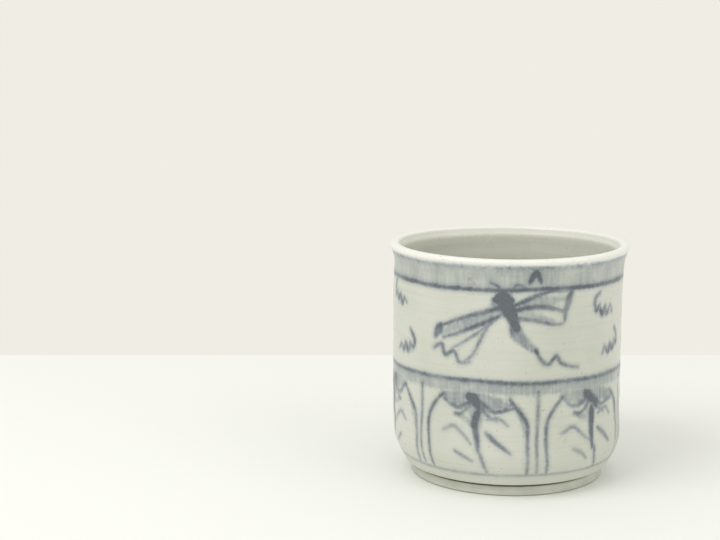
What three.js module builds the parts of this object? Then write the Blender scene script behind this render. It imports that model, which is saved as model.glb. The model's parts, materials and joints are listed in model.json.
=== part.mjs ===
// Fresh water jar for the tea room: a straight-sided pot of glazed stoneware on a low turned foot.
// The fired pot has no moving piece. It is built in the two pieces that the potter joins
// before firing: the thrown body with its floor and rolled lip, and the ring luted under it.
// Millimetres, +Z up, the foot stands on z = 0 and the painted front faces -Y.
import * as THREE from "three";
import { mergeVertices } from "three/addons/utils/BufferGeometryUtils.js";

// Body
const JAR_HEIGHT = 177;
const BODY_RADIUS = 86.5;
const WALL = 5;
const FLOOR = 6.5;
const INSIDE_CORNER = 16;

// Rolled lip, with a narrow flat land on top where a lid would sit
const LIP_PROUD = 3.5;
const LIP_WIDTH = 7.1;
const LIP_LAND = 2.2;
const LIP_BLEND = 6;
const COVE_ROUND = 4;

// Heel, drawn in above the foot, with an undercut that throws a thin dark line
const HEEL_HEIGHT = 25;
const HEEL_LIFT = 0.6;
const UNDERCUT = 4.5;

// Foot ring
const FOOT_HEIGHT = 9;
const FOOT_RADIUS = 73;
const FOOT_WALL = 8;
const FOOT_EASE = 1;
const FOOT_LEAN = 0.5;
const SEAT_MARGIN = 1;

// Throwing ridges: one helix up the inside, left by the potter's fingers
const RIDGE_PITCH = 17;
const RIDGE_DEPTH = 0.35;
const RIDGE_SAMPLES = 4;
const RIDGE_FADE = 14;

// Facets round the axis
const SEGMENTS = 56;

// Places that follow from the sizes
const RIM_RADIUS = BODY_RADIUS + LIP_PROUD;
const LIP_ROUND = (LIP_WIDTH - LIP_LAND) / 2;
const LIP_INNER = RIM_RADIUS - LIP_WIDTH;
const INNER_RADIUS = BODY_RADIUS - WALL;
const FLOOR_TOP = FOOT_HEIGHT + FLOOR;
const RIDGES_TOP = JAR_HEIGHT - LIP_ROUND - LIP_BLEND;
const RIDGES_BOTTOM = FLOOR_TOP + INSIDE_CORNER;

const point = (radius, height) => new THREE.Vector2(radius, height);

// Points on a circle in the section, between two angles in degrees
function arc(centreRadius, centreHeight, radius, from, to, steps) {
  return Array.from({ length: steps + 1 }, (_, i) => {
    const angle = THREE.MathUtils.degToRad(from + ((to - from) * i) / steps);
    return point(centreRadius + radius * Math.cos(angle), centreHeight + radius * Math.sin(angle));
  });
}

// Heel: leaves the undercut steeply and runs out into the straight wall
function heel() {
  const foot = FOOT_RADIUS + UNDERCUT;
  const curve = new THREE.CubicBezierCurve(
    point(foot, FOOT_HEIGHT + HEEL_LIFT),
    point(foot + (BODY_RADIUS - foot) * 0.33, FOOT_HEIGHT + HEEL_HEIGHT * 0.24),
    point(BODY_RADIUS, FOOT_HEIGHT + HEEL_HEIGHT * 0.62),
    point(BODY_RADIUS, FOOT_HEIGHT + HEEL_HEIGHT),
  );
  return curve.getPoints(8);
}

// Outside of the lip: a cove tangent to the wall, then the roll tangent to the cove
function outerLip() {
  const reach = LIP_ROUND + COVE_ROUND;
  const across = reach - LIP_PROUD;
  const drop = Math.sqrt(reach ** 2 - across ** 2);
  const meet = THREE.MathUtils.radToDeg(Math.atan2(drop, across));
  const rollHeight = JAR_HEIGHT - LIP_ROUND;
  const cove = arc(BODY_RADIUS + COVE_ROUND, rollHeight - drop, COVE_ROUND, 180, 180 - meet, 4);
  const roll = arc(RIM_RADIUS - LIP_ROUND, rollHeight, LIP_ROUND, -meet, 90, 7);
  return [...cove, ...roll.slice(1)];
}

// Inside of the lip: the roll's inner half, easing down into the wall
function innerLip() {
  const roll = arc(LIP_INNER + LIP_ROUND, JAR_HEIGHT - LIP_ROUND, LIP_ROUND, 90, 180, 4);
  const blend = [0.5, 1].map((s) =>
    point(
      INNER_RADIUS + (LIP_INNER - INNER_RADIUS) * (0.5 + 0.5 * Math.cos(Math.PI * s)),
      JAR_HEIGHT - LIP_ROUND - LIP_BLEND * s,
    ),
  );
  return [...roll, ...blend];
}

// Inner wall, sampled closely enough for the ridges
function innerWall() {
  const height = RIDGES_TOP - RIDGES_BOTTOM;
  const rings = Math.ceil((height / RIDGE_PITCH) * RIDGE_SAMPLES);
  return Array.from({ length: rings }, (_, i) =>
    point(INNER_RADIUS, RIDGES_TOP - (height * (i + 1)) / rings),
  );
}

function bodyProfile() {
  return [
    point(0, FOOT_HEIGHT),
    point(FOOT_RADIUS + SEAT_MARGIN, FOOT_HEIGHT),
    ...heel(),
    ...outerLip(),
    ...innerLip(),
    ...innerWall(),
    ...arc(INNER_RADIUS - INSIDE_CORNER, RIDGES_BOTTOM, INSIDE_CORNER, 0, -90, 6).slice(1),
    point(0, FLOOR_TOP),
  ];
}

function footProfile() {
  const inner = FOOT_RADIUS - FOOT_WALL;
  const profile = [
    ...arc(FOOT_RADIUS - FOOT_EASE, FOOT_EASE, FOOT_EASE, -90, 0, 3),
    point(FOOT_RADIUS - FOOT_LEAN, FOOT_HEIGHT),
    point(inner - FOOT_LEAN, FOOT_HEIGHT),
    ...arc(inner + FOOT_EASE, FOOT_EASE, FOOT_EASE, 180, 270, 3),
  ];
  return [...profile, profile[0].clone()];
}

// Revolves a section about +Z
function turned(profile) {
  const lathe = new THREE.LatheGeometry(profile, SEGMENTS);
  lathe.deleteAttribute("normal");
  lathe.deleteAttribute("uv");
  return mergeVertices(lathe, 1e-4).rotateX(Math.PI / 2);
}

// Moves the inner wall in and out along one helix, fading towards the lip and the floor
function addThrowingRidges(geometry) {
  const position = geometry.getAttribute("position");
  for (let i = 0; i < position.count; i++) {
    const x = position.getX(i);
    const y = position.getY(i);
    const z = position.getZ(i);
    const radius = Math.hypot(x, y);
    const onWall = Math.abs(radius - INNER_RADIUS) < 0.01;
    if (!onWall || z > RIDGES_TOP || z < RIDGES_BOTTOM) continue;
    const toEnd = Math.min(RIDGES_TOP - z, z - RIDGES_BOTTOM);
    const fade = THREE.MathUtils.smoothstep(toEnd, 0, RIDGE_FADE);
    const turns = z / RIDGE_PITCH + Math.atan2(y, x) / (2 * Math.PI);
    const moved = 1 + (RIDGE_DEPTH * fade * Math.cos(2 * Math.PI * turns)) / radius;
    position.setXY(i, x * moved, y * moved);
  }
  return geometry;
}

const glaze = new THREE.MeshStandardMaterial({ color: 0xc8cabd, roughness: 0.22, metalness: 0 });
const footGlaze = new THREE.MeshStandardMaterial({ color: 0xb4b6a9, roughness: 0.5, metalness: 0 });

const jarBody = new THREE.Mesh(addThrowingRidges(turned(bodyProfile())), glaze);
jarBody.name = "jar_body";

const footRing = new THREE.Mesh(turned(footProfile()), footGlaze);
footRing.name = "foot_ring";

const jar = new THREE.Group();
jar.name = "fresh_water_jar";
jar.add(jarBody, footRing);

export default jar;
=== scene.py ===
# %% [markdown]
# # A fresh water jar
# The jar is a thick pot of grey-white stoneware with loose cobalt brushwork under its glaze.
# The packed solids give its true size and stay as they are. This scene lays a finer skin over
# them, so that the outline is smooth and the brushwork has a surface fine enough to lie on.

# %% Load the solids
import json
import math

import bpy
import numpy as np
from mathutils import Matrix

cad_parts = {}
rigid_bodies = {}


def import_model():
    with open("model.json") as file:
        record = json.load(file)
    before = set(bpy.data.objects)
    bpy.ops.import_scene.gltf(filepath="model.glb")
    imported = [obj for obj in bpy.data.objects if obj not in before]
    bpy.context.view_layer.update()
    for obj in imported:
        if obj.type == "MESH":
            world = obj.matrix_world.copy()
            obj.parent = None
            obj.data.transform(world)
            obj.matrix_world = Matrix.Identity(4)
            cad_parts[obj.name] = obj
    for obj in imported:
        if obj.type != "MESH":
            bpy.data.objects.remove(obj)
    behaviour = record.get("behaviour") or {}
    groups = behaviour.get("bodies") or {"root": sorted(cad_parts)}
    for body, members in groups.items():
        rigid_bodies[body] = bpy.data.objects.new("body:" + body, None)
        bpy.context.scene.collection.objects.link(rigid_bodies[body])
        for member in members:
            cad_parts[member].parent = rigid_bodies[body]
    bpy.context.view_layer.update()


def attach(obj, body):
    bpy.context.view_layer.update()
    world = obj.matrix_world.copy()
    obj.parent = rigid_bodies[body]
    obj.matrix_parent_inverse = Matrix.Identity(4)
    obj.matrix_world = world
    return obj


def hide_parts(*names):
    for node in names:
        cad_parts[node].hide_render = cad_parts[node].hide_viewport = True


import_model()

MM = 0.001

# %% [markdown]
# ## The section of the pot
# A potter's profile gauge is cut to half the section of a pot, and a revolved mesh starts from
# the same curve. It could be drawn by hand as a Bezier curve. Here arcs and one Bezier give it,
# so that each size has a name. Sizes stay in millimetres until a mesh is made.

# %% Sizes and curves of the section
HEIGHT = 177.0
WALL_RADIUS = 86.5
INNER_RADIUS = 81.5
RIM_RADIUS = 90.0
RIM_INNER = 82.9
ROLL = 2.45
COVE = 30.0
LIP_EASE = 6.0
FOOT_HEIGHT = 9.0
FLOOR_TOP = 15.5
CORNER = 16.0
SEAT_RADIUS = 73.6
HEEL_TOP = 34.0
HEEL = [(77.5, FOOT_HEIGHT + 0.7), (80.4, 15.0), (WALL_RADIUS, 24.5), (WALL_RADIUS, HEEL_TOP)]
MID_FLOOR = 40.0
ROW_STEP = 1.15
INSIDE_STEP = 4.0


def arc(r, z, radius, start, end, steps):
    angles = np.radians(np.linspace(start, end, steps + 1))
    return np.stack([r + radius * np.cos(angles), z + radius * np.sin(angles)], axis=1)


def bezier(p0, p1, p2, p3, steps):
    t = np.linspace(0, 1, steps + 1)[:, None]
    p0, p1, p2, p3 = map(np.array, (p0, p1, p2, p3))
    return (1 - t) ** 3 * p0 + 3 * t * (1 - t) ** 2 * p1 + 3 * t**2 * (1 - t) * p2 + t**3 * p3


def straight(r, z0, z1, step):
    rows = max(2, int(round(abs(z1 - z0) / step)))
    return np.stack([np.full(rows + 1, r), np.linspace(z0, z1, rows + 1)], axis=1)


print("rim radius over wall radius:", RIM_RADIUS - WALL_RADIUS, "mm")

# %% [markdown]
# ## Outside and inside
# The outside runs from the middle of the underside, round the heel and up the wall. A cove carries
# it out to the rolled lip, and the two circles are tangent, so the place where they meet follows
# from their radii. The inside starts on the flat of the lip and runs down to the floor's middle.

# %% Section of the body
across = ROLL + COVE - (RIM_RADIUS - WALL_RADIUS)
drop = math.sqrt((ROLL + COVE) ** 2 - across**2)
meet = math.degrees(math.atan2(drop, across))
roll_z = HEIGHT - ROLL
ridges_high = roll_z - LIP_EASE
ridges_low = FLOOR_TOP + CORNER
outside = np.concatenate(
    [
        [[0.0, FOOT_HEIGHT], [MID_FLOOR, FOOT_HEIGHT], [SEAT_RADIUS, FOOT_HEIGHT]],
        bezier(*HEEL, 22),
        straight(WALL_RADIUS, HEEL_TOP, roll_z - drop, ROW_STEP)[1:],
        arc(WALL_RADIUS + COVE, roll_z - drop, COVE, 180, 180 - meet, 9)[1:],
        arc(RIM_RADIUS - ROLL, roll_z, ROLL, -meet, 90, 10)[1:],
    ]
)
ease = np.linspace(0, 1, 5)[1:]
easing = INNER_RADIUS + (RIM_INNER - INNER_RADIUS) * (0.5 + 0.5 * np.cos(math.pi * ease))
inside = np.concatenate(
    [
        arc(RIM_INNER + ROLL, roll_z, ROLL, 90, 180, 7),
        np.stack([easing, roll_z - LIP_EASE * ease], axis=1),
        straight(INNER_RADIUS, ridges_high, ridges_low, INSIDE_STEP)[1:],
        arc(INNER_RADIUS - CORNER, ridges_low, CORNER, 0, -90, 8)[1:],
        [[MID_FLOOR, FLOOR_TOP], [0.0, FLOOR_TOP]],
    ]
)
body_section = np.concatenate([outside, inside])
print("points outside:", len(outside), "inside:", len(inside))

# %% [markdown]
# ## Foot ring
# The ring is trimmed on the wheel. Its edges are eased where it stands, and it leans in a little
# towards the floor above. Its section is a closed loop that never meets the axis.

# %% Section of the foot
FOOT_OUTER = 73.0
FOOT_INNER = 65.0
FOOT_EASE = 1.0
FOOT_MIDDLE = 4.0
LEAN_MIDDLE = 0.2
LEAN_TOP = 0.5
foot_section = np.concatenate(
    [
        arc(FOOT_OUTER - FOOT_EASE, FOOT_EASE, FOOT_EASE, -90, 0, 5),
        [[FOOT_OUTER - LEAN_MIDDLE, FOOT_MIDDLE], [FOOT_OUTER - LEAN_TOP, FOOT_HEIGHT]],
        [[FOOT_INNER - LEAN_TOP, FOOT_HEIGHT], [FOOT_INNER - LEAN_MIDDLE, FOOT_MIDDLE]],
        arc(FOOT_INNER + FOOT_EASE, FOOT_EASE, FOOT_EASE, 180, 270, 5),
    ]
)
print("points of the foot:", len(foot_section))

# %% [markdown]
# ## Turning a section into a skin
# A Screw modifier could revolve the section. Building the rows in code keeps the angle, radius and
# height of every vertex at hand, which the loosening and the brushwork both need.

# %% Revolve
SEGMENTS = 480


def revolve(section, closed):
    """Faces from a section in millimetres, with the angle, radius and height of each vertex.

    An open section starts and ends on the axis, and each end becomes one vertex there.
    """
    angles = -math.pi + 2 * math.pi * np.arange(SEGMENTS) / SEGMENTS
    rings = section if closed else section[1:-1]
    count = len(rings)
    angle = np.tile(angles, count)
    radius = np.repeat(rings[:, 0], SEGMENTS)
    height = np.repeat(rings[:, 1], SEGMENTS)
    here = np.arange(SEGMENTS)
    after = (here + 1) % SEGMENTS
    rows = []
    for i in range(count if closed else count - 1):
        a = i * SEGMENTS
        b = ((i + 1) % count) * SEGMENTS
        rows.append(np.stack([a + here, a + after, b + after, b + here], axis=1))
    faces = np.concatenate(rows).tolist()
    if not closed:
        bottom = count * SEGMENTS
        top = bottom + 1
        angle = np.append(angle, [0, 0])
        radius = np.append(radius, [0, 0])
        height = np.append(height, [section[0, 1], section[-1, 1]])
        last = (count - 1) * SEGMENTS
        faces += [[bottom, int(after[j]), j] for j in range(SEGMENTS)]
        faces += [[top, last + j, last + int(after[j])] for j in range(SEGMENTS)]
    return faces, angle, radius, height


def make_object(name, faces, x, y, z):
    mesh = bpy.data.meshes.new(name)
    mesh.from_pydata((np.stack([x, y, z], axis=1) * MM).tolist(), [], faces)
    mesh.polygons.foreach_set("use_smooth", np.ones(len(mesh.polygons), dtype=bool))
    mesh.update()
    obj = bpy.data.objects.new(name, mesh)
    bpy.context.scene.collection.objects.link(obj)
    return obj


faces, angle, radius, height = revolve(body_section, closed=False)
print("vertices of the body:", len(angle))

# %% [markdown]
# ## A hand-thrown wall
# A thrown pot is never quite round. The rows are moved a fraction of a millimetre by slow waves,
# always inwards at the lip, so the skin keeps inside the solid's box. The inside carries the
# potter's finger ridges, one helix from floor to lip. The belly stands a little to one side.

# %% Loosen the body
RIDGE_PITCH = 17.0
RIDGE_DEPTH = 0.35
RIDGE_FADE = 14.0
OUT_OF_ROUND = 0.28
THROWN_WAVE = 0.10
THROWN_PITCH = 21
LIP_DIP = 0.45
BELLY_SHIFT = 1.0


def smooth(edge0, edge1, x):
    t = np.clip((x - edge0) / (edge1 - edge0), 0, 1)
    return t * t * (3 - 2 * t)


index = np.arange(len(radius)) // SEGMENTS
is_inside = (index >= len(outside) - 1) & (index < len(body_section) - 2)
wave = 0.5 + 0.25 * np.sin(2 * angle + 0.6) + 0.25 * np.sin(3 * angle - height / 60)
loose = radius / RIM_RADIUS * OUT_OF_ROUND * wave

turns = height / RIDGE_PITCH + angle / (2 * math.pi)
fade = smooth(ridges_low, ridges_low + RIDGE_FADE, height)
fade = fade * (1 - smooth(ridges_high - RIDGE_FADE, ridges_high, height))
ridge = np.where(is_inside, RIDGE_DEPTH * fade * np.cos(2 * math.pi * turns), 0)

throwing = THROWN_WAVE * np.sin(height * 2 * math.pi / THROWN_PITCH + angle)
throwing = np.where(is_inside, 0, throwing * smooth(30, 50, height))
throwing *= 1 - smooth(150, 165, height)

moved = radius - loose + ridge + throwing
dip = LIP_DIP * (0.5 + 0.5 * np.sin(2 * angle + 1.9)) * smooth(150, HEIGHT, height)
belly = BELLY_SHIFT * smooth(20, 60, height) * (1 - smooth(140, 168, height))
jar_x = moved * np.sin(angle) - belly
jar_y = -moved * np.cos(angle)
jar = make_object("jar_skin", faces, jar_x, jar_y, height - dip)
print("faces of the body:", len(jar.data.polygons))

# %% [markdown]
# ## The foot's skin
# The ring gets the same treatment, but its face on the table stays flat and round.

# %% Loosen the foot
FOOT_OUT_OF_ROUND = 0.25
foot_faces, foot_angle, foot_radius, foot_height = revolve(foot_section, closed=True)
foot_wave = 0.5 + 0.5 * np.sin(2 * foot_angle)
foot_moved = foot_radius - FOOT_OUT_OF_ROUND * foot_wave * smooth(1, 3, foot_height)
foot_x = foot_moved * np.sin(foot_angle)
foot_y = -foot_moved * np.cos(foot_angle)
foot = make_object("foot_skin", foot_faces, foot_x, foot_y, foot_height)
print("faces of the foot:", len(foot.data.polygons))

# %% [markdown]
# ## The wall as a canvas
# The decorator loads a soft brush with cobalt and works fast on the raw wall: a wet wash first,
# then the dark lines. A painted image would do, but strokes in code need no file and stay sharp.
# Every vertex stores how far it is from the edge of the nearest stroke, in two layers, and the
# tone of that stroke. A distance stays sharp between vertices, as a stored darkness would not.

# %% Canvas
ROUND = 2 * math.pi * WALL_RADIUS
FAR = 9.0
rng = np.random.default_rng(11)
along = angle * WALL_RADIUS
on_wall = (~is_inside) & (height > 9.5) & (radius > 70)
layers = {
    "line": [np.full(len(angle), FAR), np.zeros(len(angle))],
    "wash": [np.full(len(angle), FAR), np.zeros(len(angle))],
}


def lay(layer, distance, tone, where):
    """Keeps the nearest stroke's distance and tone at each vertex."""
    store, tones = layers[layer]
    nearer = distance < store[where]
    chosen = where[nearer]
    store[chosen] = distance[nearer]
    tones[chosen] = tone


print("wall vertices for the brush:", int(on_wall.sum()))

# %% [markdown]
# ## One pull of the brush
# A stroke is a smooth curve through a few points on the unrolled wall, in millimetres along it and
# up it. Its width swells where the brush is pressed and thins where it lifts. A small seeded shake
# of the points keeps repeats from matching. A ring is a stroke all round the turning pot.

# %% Stroke and ring
LIFTED = 0.42


def through(points, step=0.6):
    """A smooth curve through the points, Catmull-Rom, sampled about every step millimetres."""
    p = np.array(points, dtype=float)
    p = np.concatenate([[2 * p[0] - p[1]], p, [2 * p[-1] - p[-2]]])
    out = []
    for a, b, c, d in zip(p[:-3], p[1:-2], p[2:-1], p[3:]):
        n = max(2, int(np.linalg.norm(c - b) / step))
        t = np.linspace(0, 1, n, endpoint=False)[:, None]
        square = (2 * a - 5 * b + 4 * c - d) * t**2
        cube = (3 * b - a - 3 * c + d) * t**3
        out.append(0.5 * (2 * b + (c - a) * t + square + cube))
    return np.concatenate(out + [p[-2:-1]])


def stroke(points, width, tone, layer="line", at=(0, 0), scale=1.0, flip=1, shake=0.5):
    """One pull of the brush: pressed in, then lifted off towards its end."""
    p = np.array(points, dtype=float) * [flip * scale, scale] + at
    p += rng.normal(0, shake, p.shape)
    curve = through(p)
    t = np.linspace(0, 1, len(curve))
    half = 0.5 * width * scale * (LIFTED + (1 - LIFTED) * np.sin(math.pi * t**0.6))
    middle = curve[:, 0].mean()
    reach = np.abs(curve[:, 0] - middle).max() + FAR
    across_wall = (along - middle + ROUND / 2) % ROUND - ROUND / 2
    low, high = curve[:, 1].min() - FAR, curve[:, 1].max() + FAR
    beside = np.abs(across_wall) < reach
    where = np.nonzero(on_wall & beside & (height > low) & (height < high))[0]
    best = np.full(len(where), FAR)
    for (u, v), h in zip(curve, half):
        gap = np.hypot(across_wall[where] + middle - u, height[where] - v) - h
        np.minimum(best, gap, out=best)
    lay(layer, best, tone, where)


def ring(level, width, tone, layer, wobble, phase):
    """A band pulled round the turning pot. level and width may change with the angle."""
    slow = 0.5 * np.sin(2 * angle + phase)
    medium = 0.3 * np.sin(5 * angle + 2 * phase)
    quick = 0.2 * np.sin(9 * angle - phase)
    line = level + wobble * (slow + medium + quick)
    where = np.nonzero(on_wall)[0]
    gap = np.abs(height - line)[where] - 0.5 * (width if np.isscalar(width) else width[where])
    lay(layer, gap, tone, where)


print("the brush keeps", LIFTED, "of its width at the ends of a stroke")

# %% [markdown]
# ## Bands
# A banding wheel turns the pot under a still brush. The line under the shoulder band sags into
# drops where the brush was wet, so its width follows a few bumps round the wall. A pale wash fills
# the band, another lies under the middle line, and a thin line marks the heel.

# %% Bands round the wall
LIP_LINE = 171.3
SHOULDER_WASH = 163.2
UPPER_LINE = 154.6
MIDDLE_LINE = 87.6
HEEL_LINE = 18.0
DROP_PLACES = np.arange(-3.0, 3.2, 0.47)
drops = np.zeros(len(angle))
for centre in DROP_PLACES + rng.normal(0, 0.08, len(DROP_PLACES)):
    size = rng.uniform(0.1, 1.0)
    drops += size * np.exp(-(((angle - centre) / rng.uniform(0.04, 0.12)) ** 2))
ring(UPPER_LINE - 0.3 * drops, 2.1 + 0.9 * drops, tone=0.95, layer="line", wobble=0.8, phase=0.4)
ring(LIP_LINE, 1.5, tone=0.5, layer="line", wobble=0.3, phase=1.3)
ring(SHOULDER_WASH, 16.0, tone=0.23, layer="wash", wobble=0.5, phase=0.4)
ring(MIDDLE_LINE, 2.2, tone=0.66, layer="line", wobble=1.0, phase=2.1)
ring(MIDDLE_LINE - 4.6, 9.0, tone=0.27, layer="wash", wobble=1.0, phase=2.1)
ring(HEEL_LINE, 1.3, tone=0.36, layer="line", wobble=0.4, phase=0.9)
print("deepest drop:", round(float(drops.max()), 2))

# %% [markdown]
# ## Insects in flight
# The upper wall carries three large winged insects in the loose manner of old cobalt wares: a dark
# knot for the body, wide wings of wash with lines along them, and trailing curls. Short curls fill
# the gaps. Each stroke lists its points, then its width and its tone.

# %% Motifs of the upper wall
INSECTS = 3
FRONT = -6.5
INSECT_LEVEL = 139.5


def insect(at, scale, flip):
    def put(points, width, tone, layer="line"):
        stroke(points, width, tone, layer, at=at, scale=scale, flip=flip)

    # Washes of the wings, the knot and the tail
    put([(-6, 0), (-22, -7), (-38, -13), (-50, -18)], 8.0, 0.34, "wash")
    put([(6, 3), (18, 6), (32, 8), (42, 8)], 8.0, 0.3, "wash")
    put([(5, -2), (18, -4), (32, -7)], 6.0, 0.28, "wash")
    put([(-9, 6), (-2, 2), (5, -4)], 15.0, 0.42, "wash")
    put([(1, -9), (6, -17), (13, -25), (20, -29)], 9.0, 0.62, "wash")
    # Body and head
    put([(-7, 10), (-2, 4), (2, -3), (5, -11)], 9.0, 0.95)
    put([(-10, 9), (-5, 11), (1, 9)], 5.5, 1.0)
    # Right wings and their ends
    put([(4, 4), (15, 10), (29, 14), (44, 14)], 2.8, 0.72)
    put([(6, 1), (20, 3), (33, 2), (41, -2)], 3.0, 0.78)
    put([(4, -4), (18, -7), (31, -10), (40, -9)], 2.3, 0.62)
    put([(45, 13), (44, 6), (41, -1), (41, -7)], 4.6, 0.72)
    # Left wings and their dark end
    put([(-6, 2), (-20, -2), (-38, -8), (-52, -14)], 2.8, 0.75)
    put([(-7, -3), (-22, -11), (-36, -17), (-50, -22)], 2.6, 0.7)
    put([(-51, -13), (-54, -17), (-56, -22)], 5.6, 0.85)
    put([(-9, -5), (-20, -15), (-33, -24), (-42, -29)], 2.0, 0.55)
    # Legs, feelers and trailing curls
    put([(-12, -5), (-19, -18), (-27, -32), (-34, -39)], 2.0, 0.62)
    put([(-58, -31), (-51, -27), (-47, -34), (-40, -31), (-36, -39), (-29, -38)], 2.3, 0.8)
    put([(-5, 13), (-9, 18), (-14, 20)], 1.6, 0.7)
    put([(0, 12), (4, 18), (9, 19)], 1.6, 0.7)
    put([(19, -28), (24, -36), (30, -38), (34, -33), (39, -38), (46, -42), (54, -43)], 2.1, 0.8)


def curls(at, flip):
    stroke([(-5, 9), (-10, 3), (-9, -5), (-5, -1)], 3.0, 0.66, at=at, flip=flip)
    stroke([(-5, -1), (-2, -8), (2, -3), (5, -9), (9, -4), (13, -9)], 2.5, 0.62, at=at, flip=flip)
    stroke([(-8, -5), (0, -7), (9, -8)], 6.0, 0.2, "wash", at=at, flip=flip)


for k in range(INSECTS):
    round_wall = k * ROUND / INSECTS
    insect((FRONT + round_wall, INSECT_LEVEL), 1.0 - 0.04 * k, 1 if k != 1 else -1)
    curls((FRONT + 79 + round_wall, 141 + 2 * k), 1)
    curls((FRONT + 92 + round_wall, 112 - k), -1)
    stroke([(-4, -3), (0, 3), (4, -3)], 3.4, 0.9, at=(FRONT + 17 + round_wall, 163.5))
print("insects:", INSECTS)

# %% [markdown]
# ## Lappets
# Six hanging panels ring the lower wall, a common border on such wares. Two bowed lines and a
# straight one part each panel from the next. A spray hangs in every panel: a dark bud, broad
# leaves of wash, a thick stem and a few quick side strokes.

# %% Panels of the lower wall
PANELS = 6
DIVIDER = 14.5


def divider(u):
    at = (u, 0)
    stroke([(0, 81), (0.6, 60), (-0.3, 40), (0.2, 20)], 1.9, 0.6, at=at)
    stroke([(-20, 75), (-14, 68), (-8, 58), (-6.4, 44), (-6.6, 19)], 2.2, 0.66, at=at)
    stroke([(20, 76), (14, 69), (8.4, 58), (7.2, 44), (7.6, 19)], 2.2, 0.66, at=at)
    stroke([(-16, 71), (-10, 61), (-8, 48)], 5.0, 0.26, "wash", at=at)


def spray(u, flip):
    at = (u, 0)

    def put(points, width, tone, layer="line"):
        stroke(points, width, tone, layer, at=at, flip=flip, shake=0.7)

    # Leaves of wash
    put([(-1, 76), (-12, 75), (-25, 76)], 11.0, 0.36, "wash")
    put([(1, 76), (13, 73), (26, 71)], 11.0, 0.36, "wash")
    put([(0, 76), (1, 66), (3, 56)], 13.0, 0.32, "wash")
    # Bud, and the lines that spread from it
    put([(-4, 77), (0, 74), (3, 69)], 6.5, 0.82)
    put([(-2, 74), (-11, 68), (-18, 69), (-24, 74)], 2.8, 0.6)
    put([(-2, 71), (-9, 64), (-15, 62)], 2.6, 0.55)
    put([(3, 73), (12, 67), (20, 66), (27, 67)], 2.8, 0.62)
    put([(3, 70), (10, 63), (16, 60)], 2.6, 0.55)
    # Stem
    put([(2, 66), (2.6, 56), (2.4, 46), (3, 36)], 4.6, 0.78)
    put([(3, 36), (6, 28), (8, 20)], 1.9, 0.6)
    # Side strokes
    put([(-25, 50), (-17, 53), (-8, 47), (-2, 42)], 2.3, 0.46)
    put([(9, 60), (17, 61), (25, 56)], 2.3, 0.46)
    put([(8, 50), (16, 44), (25, 36)], 3.0, 0.6)
    put([(-16, 36), (-9, 32), (-3, 27)], 2.2, 0.42)
    put([(-2, 57), (-9, 62), (-15, 62)], 4.4, 0.36, "wash")


for k in range(PANELS):
    u = DIVIDER + k * ROUND / PANELS
    divider(u)
    spray(u + ROUND / PANELS / 2, 1 if k % 3 != 1 else -1)
print("panels:", PANELS)

# %% [markdown]
# ## Storing it on the mesh
# A shader can read any named value of a mesh. The four values of the brushwork go there, with two
# masks for painted light: the lip, painted whiter, and the inside of the pot from where it starts,
# painted a little lighter.

# %% Attributes
# Masks for painted light: the lip is painted whiter, and the inside a little lighter.
lip_light_mask = smooth(169.5, 172.5, height)
inside_light_mask = np.where(is_inside, 1 - smooth(roll_z - 3, roll_z, height), 0)
attributes = {
    "line": layers["line"][0],
    "line_tone": layers["line"][1],
    "wash": layers["wash"][0],
    "wash_tone": layers["wash"][1],
    "lip": lip_light_mask,
    "inside": inside_light_mask,
}
for key, values in attributes.items():
    data = jar.data.attributes.new(key, "FLOAT", "POINT")
    data.data.foreach_set("value", values.astype(np.float32))
print("dark part of the wall:", round(float((attributes["line"][on_wall] < 0).mean()), 3))

# %% [markdown]
# ## Shader nodes in code
# A material is a small graph of nodes. The same few kinds come back in every finish here, so a
# class gives each of them one short call. All patterns use object coordinates, in metres, so a
# scale of 1000 means one feature a millimetre and no seam shows.

# %% Node helpers


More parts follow.
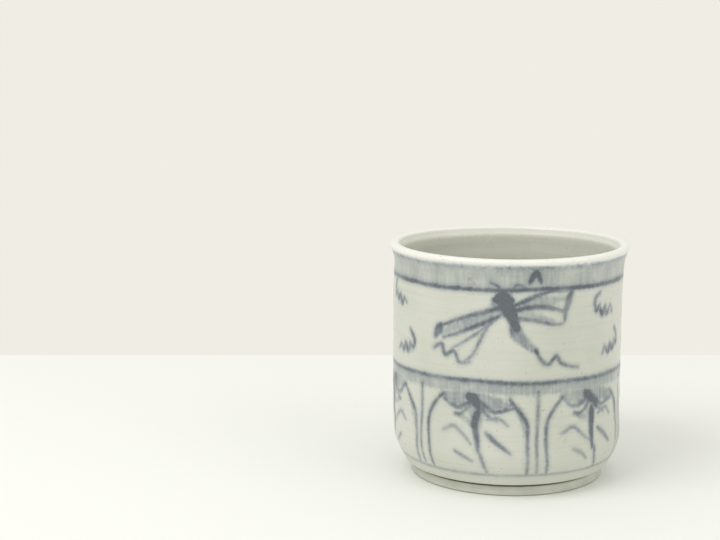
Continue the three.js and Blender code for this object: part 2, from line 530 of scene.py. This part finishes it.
class Nodes:
    """Short ways to add and join shader nodes."""

    def __init__(self, name):
        self.material = bpy.data.materials.new(name)
        self.material.use_nodes = True
        self.tree = self.material.node_tree
        self.shader = self.tree.nodes["Principled BSDF"]
        self.where = self.tree.nodes.new("ShaderNodeTexCoord").outputs["Object"]

    def put(self, socket, value):
        if isinstance(value, bpy.types.NodeSocket):
            self.tree.links.new(value, socket)
        else:
            socket.default_value = value

    def math(self, operation, a, b=0.0, clamp=False):
        n = self.tree.nodes.new("ShaderNodeMath")
        n.operation = operation
        n.use_clamp = clamp
        self.put(n.inputs[0], a)
        self.put(n.inputs[1], b)
        return n.outputs[0]

    def times(self, a, b, clamp=False):
        return self.math("MULTIPLY", a, b, clamp)

    def plus(self, a, b, clamp=False):
        return self.math("ADD", a, b, clamp)

    def attribute(self, name):
        n = self.tree.nodes.new("ShaderNodeAttribute")
        n.attribute_name = name
        return n.outputs["Fac"]

    def axes(self):
        n = self.tree.nodes.new("ShaderNodeSeparateXYZ")
        self.put(n.inputs[0], self.where)
        return n.outputs

    def stretched(self, x, y, z):
        n = self.tree.nodes.new("ShaderNodeMapping")
        n.inputs["Scale"].default_value = (x, y, z)
        self.put(n.inputs["Vector"], self.where)
        return n.outputs[0]

    def noise(self, vector, scale=1.0, detail=3.0, roughness=0.55):
        n = self.tree.nodes.new("ShaderNodeTexNoise")
        self.put(n.inputs["Vector"], vector)
        n.inputs["Scale"].default_value = scale
        n.inputs["Detail"].default_value = detail
        n.inputs["Roughness"].default_value = roughness
        return n.outputs["Fac"]

    def ranged(self, value, low, high, to_low=0.0, to_high=1.0):
        n = self.tree.nodes.new("ShaderNodeMapRange")
        n.interpolation_type = "SMOOTHSTEP"
        self.put(n.inputs["Value"], value)
        limits = {"From Min": low, "From Max": high, "To Min": to_low, "To Max": to_high}
        for key, limit in limits.items():
            n.inputs[key].default_value = limit
        return n.outputs["Result"]

    def mix(self, factor, a, b, blend="MIX"):
        n = self.tree.nodes.new("ShaderNodeMix")
        n.data_type = "RGBA"
        n.blend_type = blend
        self.put(n.inputs[0], factor)
        self.put(n.inputs[6], a if isinstance(a, bpy.types.NodeSocket) else (*a, 1))
        self.put(n.inputs[7], b if isinstance(b, bpy.types.NodeSocket) else (*b, 1))
        return n.outputs[2]

    def ramp(self, value, stops):
        n = self.tree.nodes.new("ShaderNodeValToRGB")
        self.put(n.inputs[0], value)
        while len(n.color_ramp.elements) < len(stops):
            n.color_ramp.elements.new(0.5)
        for element, (place, colour) in zip(n.color_ramp.elements, stops):
            element.position = place
            element.color = (*colour, 1)
        return n.outputs[0]

    def bump(self, height, strength, distance):
        n = self.tree.nodes.new("ShaderNodeBump")
        n.inputs["Strength"].default_value = strength
        n.inputs["Distance"].default_value = distance
        self.put(n.inputs["Height"], height)
        self.put(self.shader.inputs["Normal"], n.outputs[0])


print("node helpers:", [word for word in vars(Nodes) if not word.startswith("_")])

# %% [markdown]
# ## Glaze
# The real glaze is a milky, slightly green layer over grey clay. It is thicker and greener
# in places, and dotted with iron specks. The lip is painted whiter than the wall, as painted
# light where light falls on the roll, and the inside is painted a little lighter, as painted
# light against its shade. Flat grey would look like plastic, so noises vary it: drifts, clouds
# and turning lines. The finer noises made here break up the edge of the lip's painted light
# and, in the next steps, the cobalt and the relief.

# %% Glaze colour
BODY = (0.605, 0.612, 0.54)
GREENER = (0.54, 0.56, 0.475)
MILKY = (0.70, 0.705, 0.64)
TURNED = (0.40, 0.42, 0.35)
# Painted light: the lip is painted whiter than the wall, where light falls on the roll.
LIP_PAINTED_LIGHT = (0.85, 0.85, 0.775)
# Painted light: the inside is painted a little lighter than the wall, against its shade.
INSIDE_PAINTED_LIGHT = (0.63, 0.64, 0.555)

g = Nodes("glaze")
plain_place = g.stretched(1, 1, 1)
cloud = g.noise(plain_place, 28, 4)
low = g.noise(g.stretched(14, 14, 9), 1, 2)
streaks = g.noise(g.stretched(420, 420, 26), 1, 3, 0.6)
grain = g.noise(plain_place, 900, 4, 0.6)
edge = g.noise(plain_place, 330, 3, 0.6)
blotch = g.noise(plain_place, 75, 3, 0.55)
turning = g.noise(g.stretched(9, 9, 650), 1, 2)

base = g.mix(g.ranged(low, 0.35, 0.68), BODY, GREENER)
base = g.mix(g.times(cloud, 0.30), base, MILKY)
# Painted light: a lighter copy of the glaze on the inside.
base = g.mix(g.attribute("inside"), base, INSIDE_PAINTED_LIGHT)
base = g.mix(g.times(g.ranged(turning, 0.45, 0.75), 0.16), base, TURNED)
# Painted light: the lip is painted whiter than the wall.
lip = g.times(g.attribute("lip"), g.ranged(edge, 0.1, 0.5, 0.75, 1.0))
base = g.mix(lip, base, LIP_PAINTED_LIGHT)
print("nodes for the glaze:", len(g.tree.nodes))

# %% [markdown]
# ## Cobalt
# Cobalt lies under the glaze and takes away part of the light that comes back, so the paint
# multiplies the colour under it. A noise shifts each stroke's edge, a wider and paler halo stands
# for the pigment that bled into the glaze, and the wash gets the streaks of a soft brush.

# %% Ink and wash
line_tone = g.attribute("line_tone")
line = g.plus(g.attribute("line"), g.times(g.math("SUBTRACT", edge, 0.5), 1.8))
ink = g.times(g.ranged(line, 1.5, -1.3), line_tone)
ink = g.times(ink, g.ranged(blotch, 0.3, 0.7, 0.55, 1.1))
halo = g.times(g.times(g.ranged(line, 4.2, -0.4), 0.24), line_tone)
soft = g.plus(g.attribute("wash"), g.times(g.math("SUBTRACT", edge, 0.5), 4.0))
wash = g.times(g.ranged(soft, 2.2, -2.4), g.attribute("wash_tone"))
wash = g.times(wash, g.ranged(streaks, 0.3, 0.7, 0.72, 1.2))
wash = g.times(wash, g.ranged(blotch, 0.3, 0.7, 0.7, 1.3))
density = g.plus(g.plus(ink, halo), wash, clamp=True)
density = g.times(density, g.ranged(grain, 0.25, 0.75, 0.86, 1.08), clamp=True)
pigment = g.ramp(
    density,
    [
        (0.0, (1.0, 1.0, 1.0)),
        (0.25, (0.67, 0.705, 0.765)),
        (0.5, (0.43, 0.47, 0.56)),
        (0.75, (0.27, 0.30, 0.38)),
        (1.0, (0.17, 0.19, 0.25)),
    ],
)
base = g.mix(1.0, base, pigment, "MULTIPLY")
print("nodes with the cobalt:", len(g.tree.nodes))

# %% [markdown]
# ## Specks, gloss and relief
# Iron in the clay melts into small brown specks on top of everything. The gloss wanders a little,
# and the surface keeps a faint swell from the wheel. Bump is enough for relief this fine, because
# it never shows in the outline.

# %% Glaze surface
SPECK = (0.20, 0.17, 0.12)
BIG_SPECK = (0.16, 0.13, 0.09)
specks = g.ranged(g.noise(plain_place, 520, 1, 0.4), 0.735, 0.775)
big_specks = g.ranged(g.noise(plain_place, 170, 1, 0.3), 0.775, 0.80)
base = g.mix(g.times(specks, 0.35), base, SPECK)
base = g.mix(g.times(big_specks, 0.25), base, BIG_SPECK)
g.put(g.shader.inputs["Base Color"], base)
g.put(g.shader.inputs["Roughness"], g.ranged(cloud, 0.3, 0.7, 0.24, 0.36))
relief = g.plus(cloud, g.times(turning, 0.35))
relief = g.plus(relief, g.times(grain, 0.06))
g.bump(relief, 0.5, 0.0006)
jar.data.materials.append(g.material)
print("glaze on:", jar.name)

# %% [markdown]
# ## Foot
# The ring was trimmed with a tool on the wheel and only thinly glazed, so fine lines run round it.
# It is painted darker towards its edge on the table, and the seam under the body is painted near
# black as painted shade in the undercut. Height alone drives both here.

# %% Foot finish
THIN_GLAZE = (0.61, 0.62, 0.54)
THINNER_GLAZE = (0.53, 0.54, 0.47)
TOOL_LINE = (0.30, 0.31, 0.26)
# The foot is painted darker towards its edge on the table.
FOOT_EDGE_DARK = (0.17, 0.15, 0.11)
# Painted shade: the seam under the body is painted near black, where shade falls in the undercut.
SEAM_PAINTED_SHADE = (0.06, 0.06, 0.045)
SEAM_SHADE_START, SEAM_SHADE_FULL = 0.0066, 0.0073
FOOT_EDGE_START, FOOT_EDGE_FULL = 0.0016, 0.0004

f = Nodes("foot")
tool_lines = f.noise(f.stretched(12, 12, 1500), 1, 3, 0.7)
patches = f.noise(f.stretched(1, 1, 1), 60, 4)
above_table = f.axes()[2]
# Painted shade in the seam under the body.
seam_shade = f.ranged(above_table, SEAM_SHADE_START, SEAM_SHADE_FULL)
# Darker towards the edge on the table.
foot_edge_dark = f.ranged(f.plus(above_table, f.times(patches, 0.0006)), FOOT_EDGE_START, FOOT_EDGE_FULL)
base = f.mix(f.ranged(patches, 0.35, 0.7), THIN_GLAZE, THINNER_GLAZE)
base = f.mix(f.times(f.ranged(tool_lines, 0.45, 0.7), 0.4), base, TOOL_LINE)
# The foot darker towards its edge on the table.
base = f.mix(f.times(foot_edge_dark, 0.75), base, FOOT_EDGE_DARK)
# Painted shade: near black in the seam under the body.
base = f.mix(f.times(seam_shade, 0.88), base, SEAM_PAINTED_SHADE)
f.put(f.shader.inputs["Base Color"], base)
f.put(f.shader.inputs["Roughness"], f.ranged(patches, 0.3, 0.7, 0.42, 0.6))
f.bump(tool_lines, 0.6, 0.0004)
foot.data.materials.append(f.material)
print("nodes for the foot:", len(f.tree.nodes))

# %% [markdown]
# ## Standing for the solids
# Each skin stands in for one packed solid, which is hidden, and rides on the same body. Nothing on
# a fired pot moves, so both ride on the root.

# %% Hide and ride
for piece, node_name, slot in ((jar, "jar_body", "glaze"), (foot, "foot_ring", "foot")):
    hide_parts(node_name)
    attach(piece, "root")
print("pieces:", [jar.name, foot.name])

# %% [markdown]
# ## Table and backdrop
# Ware is photographed on a pale table in front of a pale sheet. A standing sheet would hide the jar
# in a view from behind, so there is none: past a line behind the jar, the floor shows the camera
# the sheet's plain colour, and it still takes light like the rest of the floor.

# %% Floor
FLOOR = (0.90, 0.91, 0.865)
SHEET = (0.871, 0.847, 0.776)
SHEET_BEHIND = 0.391
FLOOR_SIDE, FLOOR_BACK = 8, 60

floor_mesh = bpy.data.meshes.new("floor")
near_corners = [(-FLOOR_SIDE, -FLOOR_SIDE, 0), (FLOOR_SIDE, -FLOOR_SIDE, 0)]
far_corners = [(FLOOR_SIDE, FLOOR_BACK, 0), (-FLOOR_SIDE, FLOOR_BACK, 0)]
floor_mesh.from_pydata(near_corners + far_corners, [], [(0, 1, 2, 3)])
floor = bpy.data.objects.new("floor", floor_mesh)
bpy.context.scene.collection.objects.link(floor)

s = Nodes("floor")
s.shader.inputs["Base Color"].default_value = (*FLOOR, 1)
s.shader.inputs["Roughness"].default_value = 0.8
sheet = s.tree.nodes.new("ShaderNodeEmission")
sheet.inputs["Color"].default_value = (*SHEET, 1)
camera_sees = s.tree.nodes.new("ShaderNodeLightPath").outputs["Is Camera Ray"]
beyond = s.times(s.math("GREATER_THAN", s.axes()[1], SHEET_BEHIND), camera_sees)
by_ray = s.tree.nodes.new("ShaderNodeMixShader")
s.put(by_ray.inputs[0], beyond)
s.put(by_ray.inputs[1], s.shader.outputs[0])
s.put(by_ray.inputs[2], sheet.outputs[0])
s.put(s.tree.nodes["Material Output"].inputs["Surface"], by_ray.outputs[0])
floor_mesh.materials.append(s.material)
print("floor reaches back to", FLOOR_BACK, "m")

# %% [markdown]
# ## Light
# Wide soft lamps keep the glaze from turning into glare. Most of the light comes evenly from the
# sky, one large lamp at the upper left gives the form its shade, and a weak one fills the right.

# %% Sky and lamps
SKY = (1.0, 0.99, 0.965)
SKY_STRENGTH = 0.81
AIM = (0, 0, 0.08)
KEY_WATTS, KEY_SIZE, KEY_PLACE = 18, 1.4, (-1.3, -0.9, 1.9)
FILL_WATTS, FILL_SIZE, FILL_PLACE = 6, 1.6, (1.5, -1.2, 1.2)

world = bpy.data.worlds.new("studio")
bpy.context.scene.world = world
world.use_nodes = True
sky = world.node_tree
light_path = sky.nodes.new("ShaderNodeLightPath")
lit = sky.nodes["Background"]
lit.inputs["Color"].default_value = (*SKY, 1)
lit.inputs["Strength"].default_value = SKY_STRENGTH
seen = sky.nodes.new("ShaderNodeBackground")
seen.inputs["Color"].default_value = (*SHEET, 1)
choice = sky.nodes.new("ShaderNodeMixShader")
sky.links.new(light_path.outputs["Is Camera Ray"], choice.inputs[0])
sky.links.new(lit.outputs[0], choice.inputs[1])
sky.links.new(seen.outputs[0], choice.inputs[2])
sky.links.new(choice.outputs[0], sky.nodes["World Output"].inputs["Surface"])


def lamp(name, place, aim, size, watts):
    data = bpy.data.lights.new(name, "AREA")
    data.size = size
    data.energy = watts
    obj = bpy.data.objects.new(name, data)
    obj.location = place
    toward = np.array(aim) - np.array(place)
    flat = math.hypot(toward[0], toward[1])
    turn = math.atan2(toward[1], toward[0]) - math.pi / 2
    obj.rotation_euler = (math.atan2(flat, -toward[2]), 0, turn)
    bpy.context.scene.collection.objects.link(obj)
    return obj


key = lamp("key", KEY_PLACE, AIM, KEY_SIZE, KEY_WATTS)
fill = lamp("fill", FILL_PLACE, AIM, FILL_SIZE, FILL_WATTS)
print("lamps:", key.name, fill.name)

# %% [markdown]
# ## Camera
# A long lens from over a metre away and well above the rim shows the near wall and a sliver of
# the inside. The camera looks straight ahead, and the jar stands right of the middle.

# %% Camera
EYE = (-0.1128, -1.144, 0.348)
PITCH = 9.5885
LENS = 76.5
SENSOR = 36.0

camera_data = bpy.data.cameras.new("camera")
camera_data.lens = LENS
camera_data.sensor_width = SENSOR
camera = bpy.data.objects.new("camera", camera_data)
camera.location = EYE
camera.rotation_euler = (math.radians(90 - PITCH), 0, 0)
bpy.context.scene.collection.objects.link(camera)
bpy.context.scene.camera = camera
bpy.context.scene.view_settings.view_transform = "Standard"
print("camera looks down", PITCH, "degrees")

# %% [markdown]
# ## Sizes
# The box of the dressed jar has to stay inside the box of the solids.
